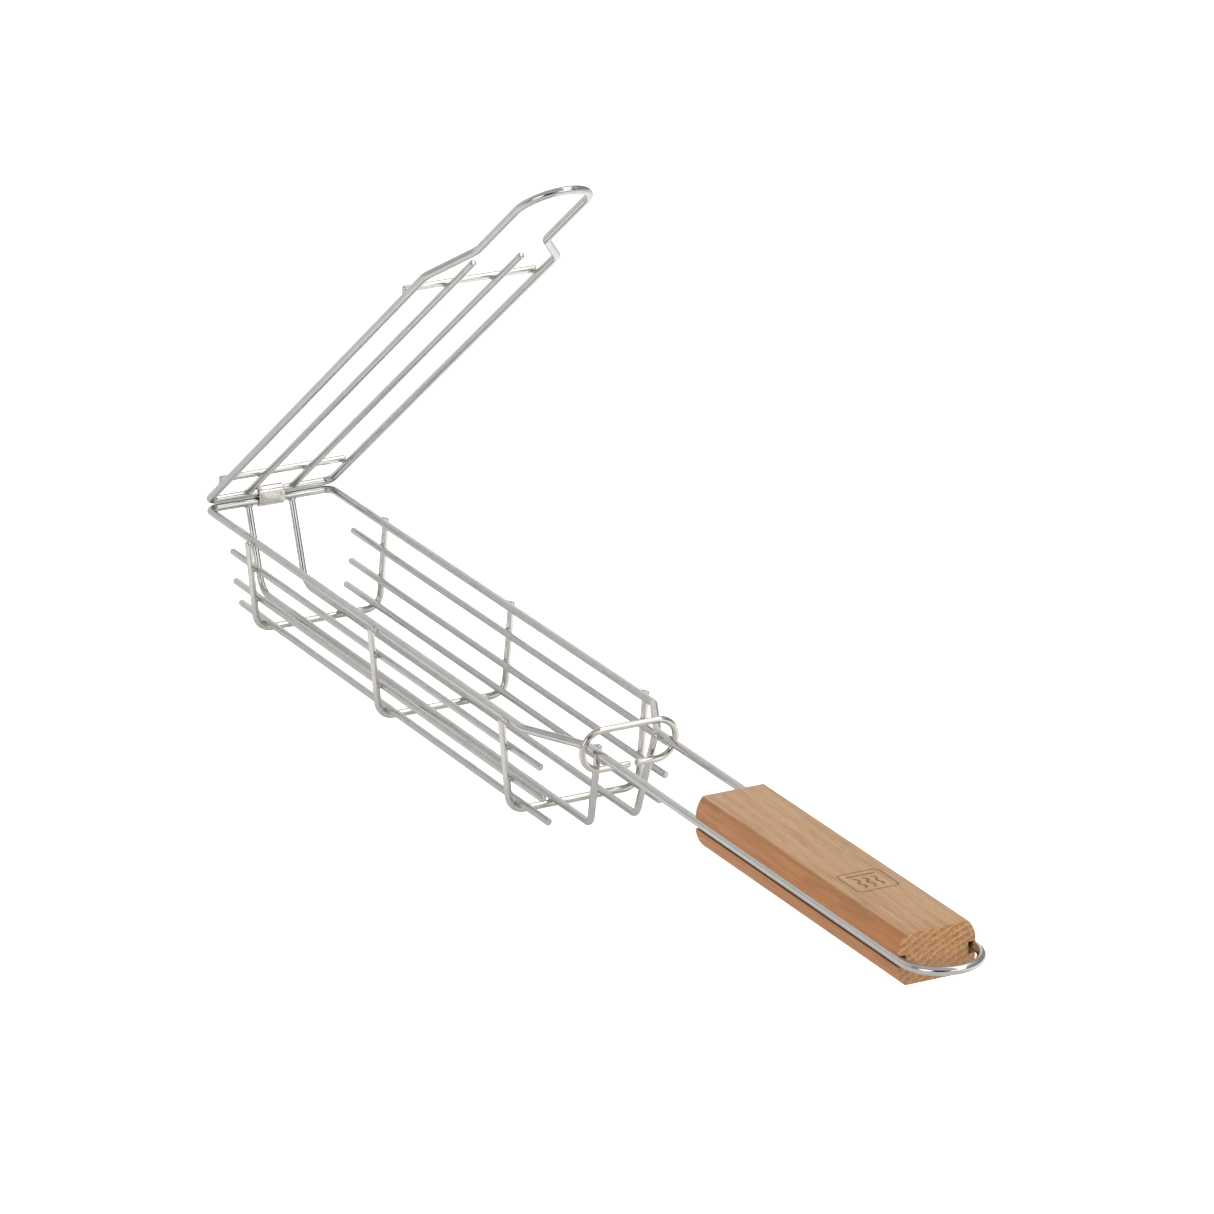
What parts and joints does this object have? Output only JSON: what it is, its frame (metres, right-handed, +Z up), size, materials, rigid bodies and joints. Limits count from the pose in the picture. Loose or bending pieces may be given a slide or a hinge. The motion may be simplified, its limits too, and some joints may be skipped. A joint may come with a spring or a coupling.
{
  "type": "grill basket",
  "caption": "Narrow wire grill basket with a hinged wire lid, a sliding lock ring and a long wooden handle grip, shown with the lid part open.",
  "frame": {"origin": "under the middle of the bounding box, on the surface the hoops stand on, with the lid part open", "axes": "+X along the handle from the hinge end to the hanging loop, +Y across the basket, +Z up out of the basket's mouth"},
  "size_m": [0.67, 0.0776, 0.2904],
  "materials": {
    "frame_steel": "satin plated steel wire, warm grey",
    "rod_steel": "satin plated steel wire, neutral grey",
    "hoop_steel": "bright plated steel wire",
    "cross_steel": "bright plated steel wire",
    "clip_steel": "bright plated sheet steel",
    "ring_steel": "polished steel wire",
    "oak": "oiled oak with straight grain"
  },
  "bodies": {
    "basket": {"main_frame": "frame_steel", "hoop_rear": "hoop_steel", "hoop_middle": "hoop_steel", "hoop_front": "hoop_steel", "left_upper_rod": "rod_steel", "left_lower_rod": "rod_steel", "left_corner_rod": "rod_steel", "right_upper_rod": "rod_steel", "right_lower_rod": "rod_steel", "right_corner_rod": "rod_steel", "left_centre_rod": "rod_steel", "right_centre_rod": "rod_steel", "hinge_clip": "clip_steel", "handle_grip": "oak"},
    "lid": {"lid_frame": "frame_steel", "lid_rear_cross_wire": "cross_steel", "lid_front_cross_wire": "cross_steel", "lid_left_rod": "rod_steel", "lid_right_rod": "rod_steel"},
    "lock_ring": {"lock_ring": "ring_steel"}
  },
  "joints": [
    {"name": "lid_hinge", "type": "hinge", "parent": "basket", "child": "lid", "pos_m": [-0.33182, 0, 0.051], "axis": [0, -1, 0], "range_deg": [-37, 143]},
    {"name": "ring_slide", "type": "slide", "parent": "basket", "child": "lock_ring", "axis": [1, 0, 0], "range_m": [0, 0.093]}
  ]
}
